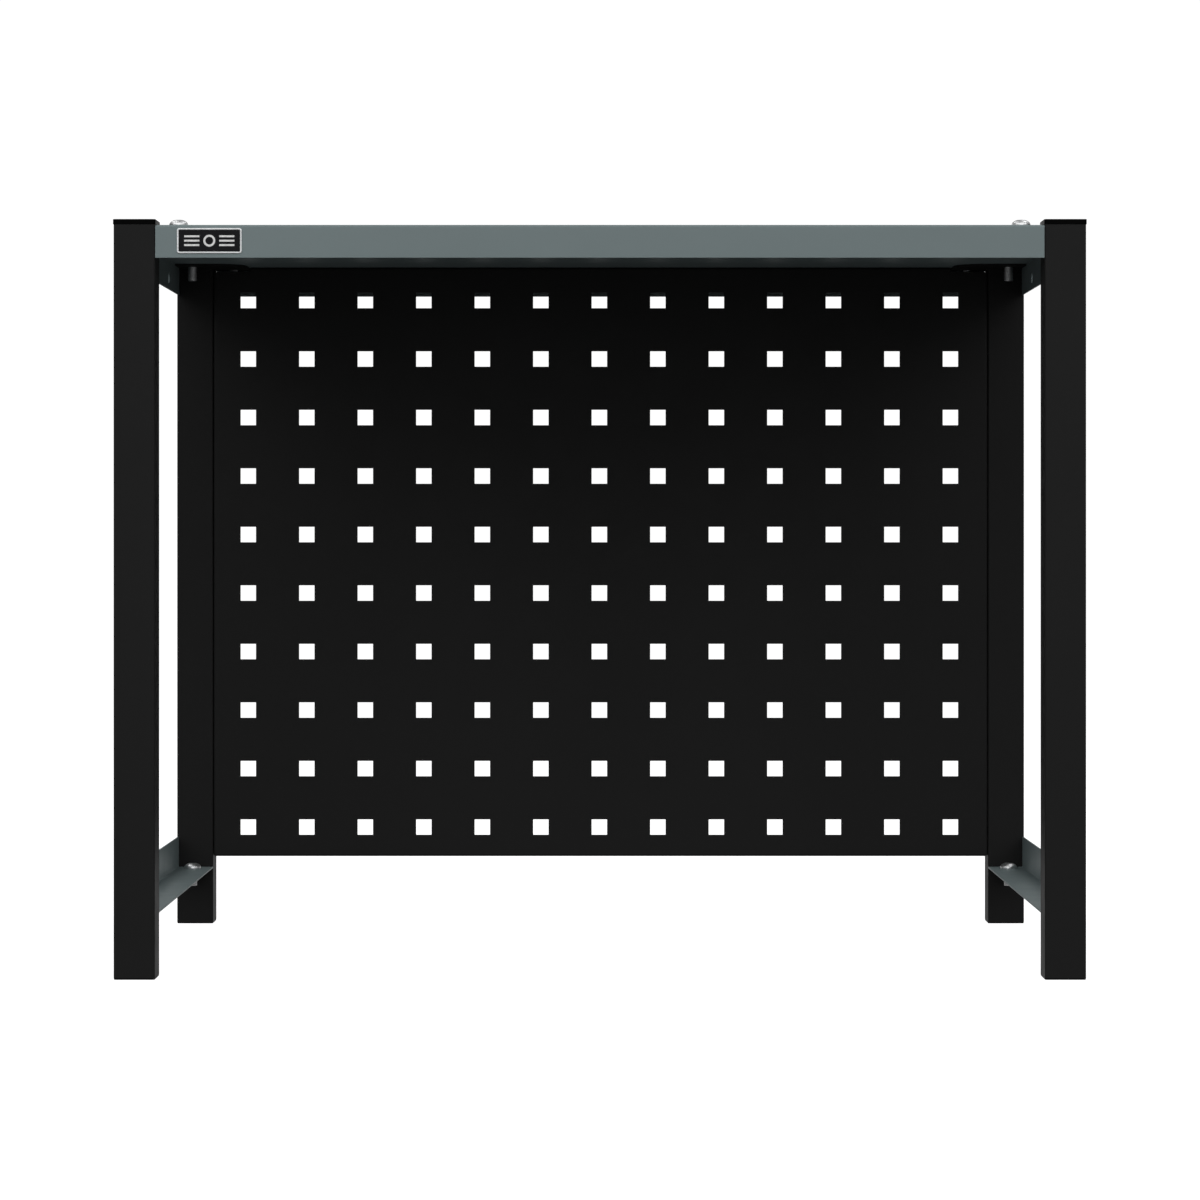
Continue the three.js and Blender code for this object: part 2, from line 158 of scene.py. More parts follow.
# A level view along +Y from in front, low on the object, as in a catalogue picture
CAMERA_PLACE = (3.2 * MM, -2.445, 0.247)
CAMERA_SENSOR = 36  # width in the camera's own millimetres, as is the lens
CAMERA_LENS = 120.2
CAMERA_SHIFT = (-0.0046, -0.0475)

# How bright the surroundings are, seen by the object
BELOW = 0.12
LEVEL = 0.245
ABOVE = 0.34
BACKDROP = 0.72
WHITE = 1.05  # what the camera sees instead

FLOOR_REACH = 30
FLOOR_GREY = 0.6
FLOOR_GLOW = 0.88

scene = bpy.context.scene


# ---- Camera, light and floor ---------------------------------------------------------------------

def new_object(name, data):
    obj = bpy.data.objects.new(name, data)
    scene.collection.objects.link(obj)
    return obj


def make_camera():
    data = bpy.data.cameras.new("camera")
    data.sensor_width = CAMERA_SENSOR
    data.lens = CAMERA_LENS
    data.shift_x, data.shift_y = CAMERA_SHIFT
    data.dof.use_dof = False
    camera = new_object("camera", data)
    camera.location = CAMERA_PLACE
    camera.rotation_euler = (math.pi / 2, 0, 0)
    scene.camera = camera


def make_world():
    """White to look at. What lights the object is dimmer: a pale backdrop behind, less from below."""
    world = bpy.data.worlds.new("studio")
    scene.world = world
    world.use_nodes = True
    tree = world.node_tree
    tree.nodes.clear()
    add, link = tree.nodes.new, tree.links.new

    def remap(source, low, high, to_low, to_high):
        node = add("ShaderNodeMapRange")
        node.interpolation_type = "SMOOTHSTEP"
        set_range(node, low, high, to_low, to_high)
        link(source, node.inputs["Value"])
        return node.outputs["Result"]

    def maths(operation, *sources):
        node = add("ShaderNodeMath")
        node.operation = operation
        for i, source in enumerate(sources):
            link(source, node.inputs[i])
        return node.outputs["Value"]

    def background():
        node = add("ShaderNodeBackground")
        node.inputs["Color"].default_value = (1, 1, 1, 1)
        return node

    # The direction looked in, from -1 to 1 on each axis
    direction = add("ShaderNodeTexCoord")
    axes = add("ShaderNodeSeparateXYZ")
    link(direction.outputs["Generated"], axes.inputs["Vector"])
    ground = remap(axes.outputs["Z"], -0.25, 0.1, BELOW, LEVEL)
    sky = remap(axes.outputs["Z"], 0.3, 1.0, 0.0, ABOVE - LEVEL)
    behind = remap(axes.outputs["Y"], 0.1, 0.7, 0.0, 1.0)
    steep = maths("ABSOLUTE", axes.outputs["Z"])
    band = remap(steep, 0.12, 0.5, BACKDROP - LEVEL, 0.0)
    light = maths("ADD", maths("ADD", ground, sky), maths("MULTIPLY", behind, band))
    soft = background()
    link(light, soft.inputs["Strength"])
    white = background()
    white.inputs["Strength"].default_value = WHITE
    ray = add("ShaderNodeLightPath")
    mix = add("ShaderNodeMixShader")
    out = add("ShaderNodeOutputWorld")
    link(ray.outputs["Is Camera Ray"], mix.inputs["Fac"])
    link(soft.outputs["Background"], mix.inputs[1])
    link(white.outputs["Background"], mix.inputs[2])
    link(mix.outputs["Shader"], out.inputs["Surface"])


def softbox(name, place, aim, size, watts):
    data = bpy.data.lights.new(name, "AREA")
    data.shape = "RECTANGLE"
    data.size, data.size_y = size
    data.energy = watts
    lamp = new_object(name, data)
    lamp.location = place
    lamp.rotation_euler = (Vector(aim) - Vector(place)).to_track_quat("-Z", "Y").to_euler()


def make_lights():
    """Two wide softboxes in front, a fill beyond each side, and one high up over each side."""
    middle = (0, 0, 0.22)
    softbox("key", (0, -2.4, 1.8), middle, size=(3.0, 1.8), watts=22.5)
    softbox("front", (0, -3.0, 0.5), middle, size=(3.0, 1.0), watts=10)
    for side, sx in SIDES:
        softbox(f"fill_{side}", (sx * 2.0, -1.6, 1.8), middle, size=(1.2, 1.6), watts=13)
    for side, sx in SIDES:
        softbox(f"side_{side}", (sx * 1.0, 0.5, 2.0), (sx * 0.26, 0.1, 0), size=(0.6, 1.0), watts=5)


def make_floor():
    """A plain pale floor. It only shows itself and a faint shadow, and sends no light up."""
    mesh = bpy.data.meshes.new("floor")
    corners = rectangle(-FLOOR_REACH, -FLOOR_REACH, FLOOR_REACH, FLOOR_REACH)
    mesh.from_pydata([(x, y, 0) for x, y in corners], [], [(0, 1, 2, 3)])
    material, _, shader = new_material("pale_floor", roughness=1, specular=0)
    shader.inputs["Base Color"].default_value = (FLOOR_GREY, FLOOR_GREY, FLOOR_GREY, 1)
    shader.inputs["Emission Color"].default_value = (1, 1, 1, 1)
    shader.inputs["Emission Strength"].default_value = FLOOR_GLOW
    mesh.materials.append(material)
    floor = new_object("floor", mesh)
    floor.visible_diffuse = False
    floor.visible_glossy = False


# ---- Materials -----------------------------------------------------------------------------------

def new_material(name, roughness, metallic=0.0, specular=0.5):
    """A new material, its node tree and its shader."""
    material = bpy.data.materials.new(name)
    material.use_nodes = True
    tree = material.node_tree
    shader = tree.nodes["Principled BSDF"]
    shader.inputs["Metallic"].default_value = metallic
    shader.inputs["Specular IOR Level"].default_value = specular
    shader.inputs["Roughness"].default_value = roughness
    return material, tree, shader


def noise(tree, scale, detail, rough=0.5, stretch=None):
    """Noise over the object's own metres. stretch scales each of its axes first."""
    place = tree.nodes.new("ShaderNodeTexCoord").outputs["Object"]
    if stretch is not None:
        mapping = tree.nodes.new("ShaderNodeMapping")
        mapping.inputs["Scale"].default_value = stretch
        tree.links.new(place, mapping.inputs["Vector"])
        place = mapping.outputs["Vector"]
    node = tree.nodes.new("ShaderNodeTexNoise")
    node.inputs["Scale"].default_value = scale
    node.inputs["Detail"].default_value = detail
    node.inputs["Roughness"].default_value = rough
    tree.links.new(place, node.inputs["Vector"])
    return node.outputs["Fac"]


def set_range(node, low, high, to_low, to_high):
    node.inputs["From Min"].default_value = low
    node.inputs["From Max"].default_value = high
    node.inputs["To Min"].default_value = to_low
    node.inputs["To Max"].default_value = to_high


def vary_colour(tree, shader, source, low, high):
    """Lets the colour wander with the noise from low to high, each (r, g, b)."""
    node = tree.nodes.new("ShaderNodeValToRGB")
    for element, position, tone in zip(node.color_ramp.elements, (NOISE_LOW, NOISE_HIGH), (low, high)):
        element.position = position
        element.color = (*tone, 1)
    tree.links.new(source, node.inputs["Fac"])
    tree.links.new(node.outputs["Color"], shader.inputs["Base Color"])


def vary_roughness(tree, shader, source, low, high):
    node = tree.nodes.new("ShaderNodeMapRange")
    set_range(node, NOISE_LOW, NOISE_HIGH, low, high)
    tree.links.new(source, node.inputs["Value"])
    tree.links.new(node.outputs["Result"], shader.inputs["Roughness"])


def bump(tree, shader, source, distance, strength, below=None):
    """Raises the surface with the noise. below is the normal of a bump that this one lies on."""
    node = tree.nodes.new("ShaderNodeBump")
    node.inputs["Strength"].default_value = strength
    node.inputs["Distance"].default_value = distance
    tree.links.new(source, node.inputs["Height"])
    if below is not None:
        tree.links.new(below, node.inputs["Normal"])
    tree.links.new(node.outputs["Normal"], shader.inputs["Normal"])
    return node.outputs["Normal"]


def shades(colour, change):
    """The colour made darker and brighter by a share of itself."""
    return [[c * factor for c in colour] for factor in (1 - change, 1 + change)]


def powder_coat(name, colour, roughness, specular):
    """Baked powder paint: an even colour with a faint cloud, and the fine orange peel of the melt."""
    material, tree, shader = new_material(name, roughness, specular=specular)
    vary_colour(tree, shader, noise(tree, scale=9, detail=3), *shades(colour, 0.03))
    vary_roughness(tree, shader, noise(tree, scale=60, detail=4), roughness - 0.03, roughness + 0.03)
    wave = bump(tree, shader, noise(tree, scale=240, detail=1), 0.04 * MM, 0.15)
    peel = noise(tree, scale=1100, detail=2, rough=0.45)
    bump(tree, shader, peel, 0.03 * MM, 0.35, below=wave)
    return material


def zinc_plate(name, low, high):
    """Bright zinc: pale metal with a slightly clouded passivated skin."""
    material, tree, shader = new_material(name, 0.25, metallic=1.0)
    vary_colour(tree, shader, noise(tree, scale=420, detail=3), low, high)
    vary_roughness(tree, shader, noise(tree, scale=900, detail=4), 0.36, 0.46)
    bump(tree, shader, noise(tree, scale=2600, detail=3), 0.02 * MM, 0.12)
    return material


def moulded_plastic(name, colour, roughness, grain, specular=0.4):
    """Injection-moulded plastic with the fine spark-eroded grain of its tool."""
    material, tree, shader = new_material(name, roughness, specular=specular)
    vary_colour(tree, shader, noise(tree, scale=500, detail=3), *shades(colour, 0.15))
    vary_roughness(tree, shader, noise(tree, scale=80, detail=3), roughness - 0.05, roughness + 0.05)
    bump(tree, shader, noise(tree, scale=2300, detail=3, rough=0.6), 0.03 * MM, grain)
    return material


def badge_metal(name):
    """The stamped rim of the badge: satin silver with fine brushing along its length."""
    material, tree, shader = new_material(name, 0.3, metallic=0.25)
    brushing = noise(tree, scale=1, detail=3, stretch=(60, 1, 2400))
    vary_colour(tree, shader, brushing, (0.88, 0.89, 0.90), (0.95, 0.96, 0.97))
    vary_roughness(tree, shader, brushing, 0.24, 0.4)
    bump(tree, shader, brushing, 0.01 * MM, 0.2)
    return material


# ---- Outlines: points (a, b) in a plane ----------------------------------------------------------

def arc(radius, start, end, steps):
    """Points on an arc about the origin, from start to end in degrees."""
    turns = [math.radians(start + (end - start) * i / steps) for i in range(steps + 1)]
    return [(radius * math.cos(t), radius * math.sin(t)) for t in turns]


def arc_about(x, y, radius, start, end, steps):
    return [(x + a, y + b) for a, b in arc(radius, start, end, steps)]


def circle(x, y, radius, sides):
    return arc_about(x, y, radius, 0, 360, sides)[:-1]


def rectangle(x0, y0, x1, y1):
    return [(x0, y0), (x1, y0), (x1, y1), (x0, y1)]


def rounded_rectangle(half_x, half_y, radius):
    """A rectangle about the origin with round corners, anticlockwise from the lower right."""
    outline = []
    for i, (sx, sy) in enumerate([(1, -1), (1, 1), (-1, 1), (-1, -1)]):
        start = -90 + 90 * i
        outline += arc_about(sx * (half_x - radius), sy * (half_y - radius), radius,
                             start, start + 90, CORNER_STEPS)
    return outline


# ---- Mesh helpers --------------------------------------------------------------------------------

def add_face(bm, points):
    bm.faces.new([bm.verts.new(p) for p in points])


def add_level_face(bm, outline, z):
    add_face(bm, [(x, y, z) for x, y in outline])


def add_upright_face(bm, outline, y):
    add_face(bm, [(x, y, z) for x, z in outline])


def weld(bm):
    bmesh.ops.remove_doubles(bm, verts=bm.verts, dist=NEAR)


def square_ring(middle, half, radius, z):
    """A level square with round corners, as a ring of points."""
    return [(middle.x + a, middle.y + b, z) for a, b in rounded_rectangle(half, half, radius)]


def loft(rings, has_ends=True):
    """A skin through rings of equal length, each a list of points, with a face over each end."""
    bm = bmesh.new()
    made = [[bm.verts.new(p) for p in ring] for ring in rings]
    count = len(made[0])
    for low, high in zip(made, made[1:]):
        for i in range(count):
            j = (i + 1) % count
            bm.faces.new((low[i], low[j], high[j], high[i]))
    if has_ends:
        bm.faces.new(list(reversed(made[0])))
        bm.faces.new(made[-1])
    bmesh.ops.recalc_face_normals(bm, faces=bm.faces)
    return bm


def loop(rings):
    """One closed skin through rings of equal length that lead back to the first one."""
    bm = loft([*rings, rings[0]], has_ends=False)
    weld(bm)
    bmesh.ops.recalc_face_normals(bm, faces=bm.faces)
    return bm


def face_outward(bm, direction):
    """Turns the skin so that its largest face looks along direction."""
    bmesh.ops.recalc_face_normals(bm, faces=bm.faces)
    largest = max(bm.faces, key=lambda f: f.calc_area())
    if largest.normal.dot(direction) < 0:
        bmesh.ops.reverse_faces(bm, faces=bm.faces)


def drilled(bm, origin, along, across, length, low, high, line, holes, radius):
    """A flat rectangle with round holes in a row. It is two faces that meet on the holes' line.

    It runs from 0 to length along one direction, and from low to high across it. holes are the
    places of the holes' middles along it, and line is how far across they all are."""
    def at(u, v):
        return origin + along * u + across * v

    half_circle = arc(radius, 0, 180, HALF_HOLE_STEPS)
    upper = [at(0, low), at(length, low), at(length, line)]
    for hole in sorted(holes, reverse=True):
        upper += [at(hole + a, line - b) for a, b in half_circle]
    lower = [at(0, line)]
    for hole in sorted(holes):
        lower += [at(hole - a, line + b) for a, b in half_circle]
    add_face(bm, [*upper, at(0, line)])
    add_face(bm, [*lower, at(length, line), at(length, high), at(0, high)])


BEND_TURNS = [math.pi / 2 * i / BEND_STEPS for i in range(BEND_STEPS + 1)]
BEND_PROFILE = [(BEND * math.sin(t), BEND * (1 - math.cos(t))) for t in BEND_TURNS]  # (out, down)


def fold(bm, picked, out, down, drop=None):
    """Folds the open edges that picked() accepts round a bend, then runs a flat leg down to drop.

    Without a drop the bend stays without its leg."""
    edges = [e for e in bm.edges if e.is_boundary and all(picked(v.co) for v in e.verts)]
    steps = list(BEND_PROFILE)
    if drop is not None:
        steps.append((BEND, drop))
    for (out0, down0), (out1, down1) in zip(steps, steps[1:]):
        made = bmesh.ops.extrude_edge_only(bm, edges=edges)["geom"]
        verts = [g for g in made if isinstance(g, bmesh.types.BMVert)]
        shift = out * (out1 - out0) + down * (down1 - down0)
        bmesh.ops.translate(bm, verts=verts, vec=shift)
        edges = [g for g in made if isinstance(g, bmesh.types.BMEdge)]
        edges = [e for e in edges if all(v in verts for v in e.verts)]


def closed_corner(bm, centre, side, lower, back, drop):
    """Closes the corner between two folds with part of a ball, and the round edge behind it."""
    rows = [*BEND_PROFILE, (BEND, drop)]
    for (r0, b0), (r1, b1) in zip(rows, rows[1:]):
        for t0, t1 in zip(BEND_TURNS, BEND_TURNS[1:]):
            points = [centre + (side * math.cos(t) + lower * math.sin(t)) * r + back * b
                      for r, b, t in ((r0, b0, t0), (r1, b1, t0), (r1, b1, t1), (r0, b0, t1))]
            add_face(bm, points[1:] if r0 == 0 else points)


def mirrored(bm, sx, sy):
    bmesh.ops.scale(bm, vec=(sx, sy, 1), verts=bm.verts)
    if sx * sy < 0:
        bmesh.ops.reverse_faces(bm, faces=bm.faces)
    return bm


# ---- From a mesh to a finished piece -------------------------------------------------------------

def mesh_of(name, bm, materials):
    mesh = bpy.data.meshes.new(name)
    bm.to_mesh(mesh)
    bm.free()
    for material in materials:
        mesh.materials.append(material)
    return mesh


def show(name, mesh, nodes, wall=None, soften=None, place=None):
    """Makes an object of a mesh and hands it to the frame in place of its CAD nodes.

    wall thickens an open skin inwards. soften rounds sharp edges, which stay crisp without it."""
    for polygon in mesh.polygons:
        polygon.use_smooth = True
    if not soften:
        mesh.set_sharp_from_angle(angle=SHARP_FROM)
    obj = new_object(name, mesh)
    if place is not None:
        obj.matrix_world = place
    if wall:
        thick = obj.modifiers.new("wall", "SOLIDIFY")
        thick.thickness = wall
        thick.offset = -1
        thick.use_even_offset = True
    if soften:
        edge = obj.modifiers.new("edges", "BEVEL")
        edge.width = soften
        edge.segments = 2
        edge.limit_method = "ANGLE"
        edge.angle_limit = BEVEL_FROM
    normals = obj.modifiers.new("normals", "WEIGHTED_NORMAL")
    normals.keep_sharp = True
    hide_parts(*nodes)
    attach(obj, "root")


def piece(name, bm, material, node, wall=None, soften=None):
    """A finished piece of one material, in place of one CAD node."""
    show(name, mesh_of(name, bm, [material]), [node], wall, soften)


# ---- Pieces at the corners -----------------------------------------------------------------------

def post(where):
    """A square tube with rounded corners, open at both ends."""
    node = f"post_{where}"
    low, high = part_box(node)
    middle = (low + high) / 2
    half = (high.x - low.x) / 2
    bore = half - TUBE_WALL
    rings = [square_ring(middle, half, TUBE_CORNER, z) for z in (low.z, high.z)]
    rings += [square_ring(middle, bore, BORE_CORNER, z) for z in (high.z, low.z)]
    piece(f"tube_{where}", loop(rings), BLACK, node, soften=CUT_EDGE)


def stub_rings(middle, mouth_z, root_z):
    """Rings down the inside of a hollow square stub, round its mouth and back along its outside."""
    bore = STUB - STUB_WALL
    levels = [(bore, root_z), (bore, mouth_z), (STUB, mouth_z), (STUB, root_z)]
    return [square_ring(middle, half, STUB_CORNER, z) for half, z in levels]


def cap(where):
    """A push-in cap: a flat crown with soft edges over the tube's end, and a hollow stub inside it."""
    node = f"post_cap_{where}"
    low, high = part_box(node)
    middle = (low + high) / 2
    half = (high.x - low.x) / 2
    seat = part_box(f"post_{where}")[1].z
    shoulder = high.z - CAP_CROWN - LID_EDGE
    levels = [(half - SEAT_EDGE, seat), (half, seat + SEAT_EDGE)]
    levels += arc_about(half - LID_EDGE, shoulder, LID_EDGE, 0, 90, CAP_EDGE_STEPS)
    levels += [(0.6 * half, high.z - CAP_CROWN / 4), (0.2 * half, high.z)]  # all but flat
    rings = stub_rings(middle, low.z, seat)
    rings += [square_ring(middle, reach, LID_CORNER, z) for reach, z in levels]
    piece(f"cap_{where}", loft(rings), PLASTIC, node)


def foot_plug(where):
    """A push-in plug whose thin lip is what the post stands on."""
    node = f"foot_plug_{where}"
    low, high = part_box(node)
    middle = (low + high) / 2
    half = (high.x - low.x) / 2
    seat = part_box(f"post_{where}")[0].z
    levels = [(half - SEAT_EDGE, seat), (half, seat - SEAT_EDGE)]
    levels += arc_about(half - LID_EDGE, low.z + LID_EDGE, LID_EDGE, 0, -90, PLUG_EDGE_STEPS)
    rings = stub_rings(middle, high.z, seat)
    rings += [square_ring(middle, reach, LID_CORNER, z) for reach, z in levels]
    piece(f"plug_{where}", loft(rings), PLASTIC, node)


def screw_spot(node):
    """The axis of an upright screw, as a point at its tip's height."""
    low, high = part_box(node)
    return Vector(((low.x + high.x) / 2, (low.y + high.y) / 2, low.z))


def corner_plate(name, node_kind, where, sx, sy, outlines):
    """A painted plate. Its outlines are drawn for the rear right corner and mirrored to the others."""
    low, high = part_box(f"{node_kind}_rear_right")
    bm = bmesh.new()
    for outline in outlines:
        add_level_face(bm, outline, high.z)
    weld(bm)
    face_outward(bm, Z_AXIS)
    piece(f"{name}_{where}", mirrored(bm, sx, sy), BLACK, f"{node_kind}_{where}",
          wall=high.z - low.z, soften=CUT_EDGE)


def half_hole(spot, start, end):
    return arc_about(spot.x, spot.y, SCREW_HOLE, start, end, HALF_HOLE_STEPS)


def gusset(where, sx, sy):
    """The L-shaped plate round a post that the tray is screwed to."""
    low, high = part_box("tray_gusset_rear_right")
    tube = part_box("post_rear_right")[0]
    side = screw_spot("tray_side_screw_rear_right")
    end = screw_spot("tray_end_screw_rear_right")
    corner = arc_about(low.x + GUSSET_CORNER, low.y + GUSSET_CORNER, GUSSET_CORNER, 180, 270,
                       GUSSET_CORNER_STEPS)
    # The middle of the plate, and the rest of it beyond a line through each hole.
    middle = [(side.x, low.y), *half_hole(side, -90, -270), (side.x, tube.y), (tube.x, tube.y),
              (tube.x, end.y), *half_hole(end, 0, -180), (low.x, end.y), *corner]
    beside = [(side.x, low.y), (high.x, low.y), (high.x, tube.y), (side.x, tube.y),
              *half_hole(side, 90, -90)]
    behind = [(tube.x, end.y), (tube.x, high.y), (low.x, high.y), (low.x, end.y),
              *half_hole(end, 180, 0)]
    corner_plate("gusset", "tray_gusset", where, sx, sy, [middle, beside, behind])


def tab(where, sx, sy):
    """The plate under a rail's end, welded to the post. Its two halves meet on the hole's line."""
    low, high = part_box("rail_tab_rear_right")
    spot = screw_spot("rail_screw_rear_right")
    y = low.y + TAB_CORNER
    left_corner = arc_about(low.x + TAB_CORNER, y, TAB_CORNER, 180, 270, TAB_CORNER_STEPS)
    right_corner = arc_about(high.x - TAB_CORNER, y, TAB_CORNER, 270, 360, TAB_CORNER_STEPS)
    left = [*left_corner, (spot.x, low.y), *half_hole(spot, -90, -270), (spot.x, high.y),
            (low.x, high.y)]
    right = [*right_corner, (high.x, high.y), (spot.x, high.y), *half_hole(spot, 90, -90),
             (spot.x, low.y)]
    corner_plate("tab", "rail_tab", where, sx, sy, [left, right])


# ---- Screws and inserts --------------------------------------------------------------------------

def thread_radius(z, turn):
    """How far a right-hand thread reaches at a height and a turn about the screw's axis."""
    rise = min(1, (z + SHANK_LENGTH) / RUN_IN, (-z - NECK) / RUN_OUT)
    phase = (z / THREAD_PITCH - turn / (2 * math.pi)) % 1
    flank = min(1, max(0, FLANK_TOP - abs(phase - 0.5) * FLANK_SLOPE))
    return THREAD_ROOT + (THREAD_CREST - THREAD_ROOT) * flank * max(rise, 0)


def hexagon_radius(flat, turn):
    """How far a hexagon reaches at a turn. flat is half its width across the flats."""
    return flat / math.cos((turn + math.pi / 6) % (math.pi / 3) - math.pi / 6)


def screw_mesh():
    """A dome-head socket screw. The underside of its head is at z = 0, with its thread below."""
    low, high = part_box("tray_side_screw_front_left")
    head = (high.x - low.x) / 2
    top = high.z - low.z - SHANK_LENGTH
    turns = [2 * math.pi * i / SCREW_SIDES for i in range(SCREW_SIDES)]

    def ring(z, reach):
        return [(reach(t) * math.cos(t), reach(t) * math.sin(t), z) for t in turns]

    def round_ring(z, radius):
        return ring(z, lambda t: radius)

    def hexagon(z, flat=SOCKET):
        return ring(z, lambda t: hexagon_radius(flat, t))

    rings = [round_ring(-SHANK_LENGTH, TIP), round_ring(-SHANK_LENGTH, THREAD_ROOT - TIP_CHAMFER)]
    steps = int(SHANK_LENGTH / THREAD_PITCH) * SCREW_RINGS_PER_TURN
    for i in range(1, steps - SCREW_RINGS_PER_TURN // 2):
        z = -SHANK_LENGTH + i * THREAD_PITCH / SCREW_RINGS_PER_TURN
        rings.append(ring(z, lambda t: thread_radius(z, t)))
    rings += [round_ring(-NECK, THREAD_CREST), round_ring(0, THREAD_CREST + NECK_FLARE)]
    rings += [round_ring(0, head - HEAD_CHAMFER), round_ring(HEAD_CHAMFER, head)]
    rings.append(round_ring(HEAD_SIDE, head))
    # The dome is part of an ellipse that has its top at the crown's radius.
    steepest = math.acos(CROWN / head)
    swell = (top - HEAD_SIDE) / math.sin(steepest)
    for a, b in arc(1, 0, math.degrees(steepest), DOME_STEPS)[1:]:
        rings.append(round_ring(HEAD_SIDE + swell * b, head * a))
    bottom = top - SOCKET_DEPTH
    rings += [hexagon(top - SOCKET_LEAD), hexagon(bottom)]
    rings.append(hexagon(bottom - SOCKET_POINT, SOCKET * SOCKET_POINT_SHARE))
    mesh = mesh_of("dome_screw", loft(rings), [ZINC, SOCKET_SHADE_ZINC])

    # Inside the socket the zinc is painted dark, as painted shade in the recess. The margins take in
    # its faces and no others.
    widest = 1.02 * hexagon_radius(SOCKET, math.pi / 6)
    for polygon in mesh.polygons:
        x, y, z = polygon.center
        is_inside = math.hypot(x, y) < widest and bottom - MM < z < top - 0.2 * MM
        polygon.material_index = int(is_inside)
    return mesh


def add_screws():
    """Every screw is the same mesh, each turned to its own angle."""
    mesh = screw_mesh()
    angle = FIRST_TURN
    for where, _, _ in CORNERS:
        for kind in ("tray_side", "tray_end", "rail"):
            node = f"{kind}_screw_{where}"
            spot = screw_spot(node) + Z_AXIS * SHANK_LENGTH
            angle += TURN_STEP
            place = Matrix.Translation(spot) @ Matrix.Rotation(angle, 4, "Z")
            show(f"m6_{node}", mesh, [node], place=place)
    for side, sx in SIDES:
        for level in LEVELS:
            node = f"panel_screw_{level}_{side}"
            low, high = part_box(node)
            spot = (low + high) / 2
            spot.x = (low.x if sx > 0 else high.x) + sx * (high.x - low.x - SHANK_LENGTH)
            angle += TURN_STEP
            place = (Matrix.Translation(spot) @ Matrix.Rotation(-sx * math.pi / 2, 4, "Y")
                     @ Matrix.Rotation(angle, 4, "Z"))
            show(f"m6_{node}", mesh, [node], place=place)


def add_inserts():
    """Threaded inserts in the rear posts, along X, with the bulge that grips behind the wall."""
    for side, sx in SIDES:
        for level in LEVELS:
            node = f"rivet_nut_{level}_{side}"
            low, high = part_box(node)
            middle = (low + high) / 2
            mouth = low.x if sx > 0 else high.x
            rings = []
            for radius, depth in INSERT:
                outline = circle(middle.y, middle.z, radius * MM, INSERT_SIDES)
                rings.append([(mouth + sx * depth * MM, y, z) for y, z in outline])
            piece(f"insert_{level}_{side}", loop(rings), ZINC, node)


# ---- Folded sheet --------------------------------------------------------------------------------

def tray():
    """The shelf: one sheet, notched round the posts and folded down on all four sides."""
    low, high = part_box("shelf_tray")
    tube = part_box("post_rear_right")[0]
    notch_x, notch_y = tube.x - TRAY_GAP, tube.y - TRAY_GAP
    edge_x, edge_y = high.x - BEND, high.y - BEND
    top = high.z
    side_screw = screw_spot("tray_side_screw_rear_right")
    end_screw = screw_spot("tray_end_screw_rear_right")
    side_holes = [notch_y + s * side_screw.y for s in BOTH]
    end_holes = [notch_x + s * end_screw.x for s in BOTH]
    flange_holes = [notch_y + s * SIDE_HOLE_Y for s in BOTH]
    bm = bmesh.new()
    add_level_face(bm, rectangle(-notch_x, -notch_y, notch_x, notch_y), top)
    for s in BOTH:
        drilled(bm, Vector((0, -notch_y, top)), Y_AXIS, X_AXIS * s, 2 * notch_y, notch_x, edge_x,
                side_screw.x, side_holes, SCREW_HOLE)
        drilled(bm, Vector((-notch_x, 0, top)), X_AXIS, Y_AXIS * s, 2 * notch_x, notch_y, edge_y,
                end_screw.y, end_holes, SCREW_HOLE)
    weld(bm)
    for s in BOTH:
        fold(bm, lambda p: abs(p.y - s * edge_y) < NEAR, Y_AXIS * s, -Z_AXIS, END_FLANGE)
        fold(bm, lambda p: abs(p.x - s * edge_x) < NEAR and p.z > top - NEAR, X_AXIS * s, -Z_AXIS)
        drilled(bm, Vector((s * high.x, -notch_y, top)), Y_AXIS, -Z_AXIS, 2 * notch_y, BEND,
                high.z - low.z, top - SIDE_HOLE_Z, flange_holes, SIDE_HOLE)
    weld(bm)
    face_outward(bm, Z_AXIS)
    piece("tray_sheet", bm, GREY, "shelf_tray", wall=SHEET, soften=CUT_EDGE)


def rail(side, sx):
    """An angle rail: its flat flange lies inwards on the tabs, its other flange stands outside."""
    low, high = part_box("lower_rail_right")
    spot = screw_spot("rail_screw_rear_right")
    edge = high.x - BEND
    holes = [s * spot.y - low.y for s in BOTH]
    bm = bmesh.new()
    drilled(bm, Vector((0, low.y, low.z)), Y_AXIS, X_AXIS, high.y - low.y, low.x, edge, spot.x,
            holes, SCREW_HOLE)
    weld(bm)
    fold(bm, lambda p: abs(p.x - edge) < NEAR, X_AXIS, Z_AXIS, high.z - low.z)
    face_outward(bm, -Z_AXIS)
    piece(f"rail_angle_{side}", mirrored(bm, sx, 1), GREY, f"lower_rail_{side}",
          wall=SHEET, soften=CUT_EDGE)


